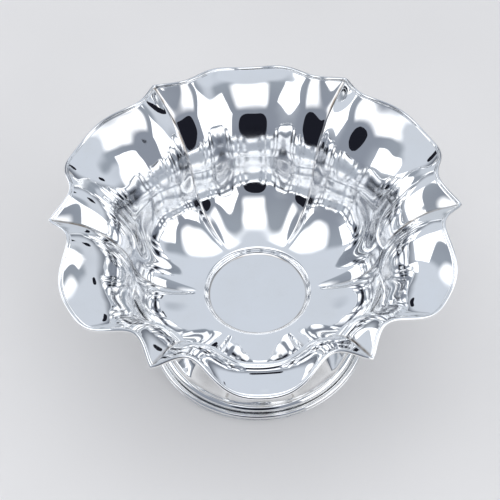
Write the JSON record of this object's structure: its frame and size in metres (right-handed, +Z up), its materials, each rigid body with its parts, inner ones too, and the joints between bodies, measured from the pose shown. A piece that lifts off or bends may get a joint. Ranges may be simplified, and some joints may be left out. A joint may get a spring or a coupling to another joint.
{
  "type": "footed punch bowl",
  "caption": "Large polished silver-plated punch bowl with scalloped lobes, pleated folds running out to a pointed wired rim, and a spun pedestal foot.",
  "frame": {"origin": "middle of the foot's rest face, at the bottom centre of the object's box", "axes": "+Z up along the axis of the bowl and foot, +X towards a point of the rim, +Y towards the middle of a lobe"},
  "size_m": [0.3622, 0.3678, 0.1896],
  "materials": {
    "silver": "mirror-polished silver plate",
    "silver_wire": "mirror-polished silver plate on applied wire"
  },
  "bodies": {
    "root": {"bowl_body": "silver", "rim_wire": "silver_wire", "foot_body": "silver", "base_wire": "silver_wire"}
  },
  "joints": []
}
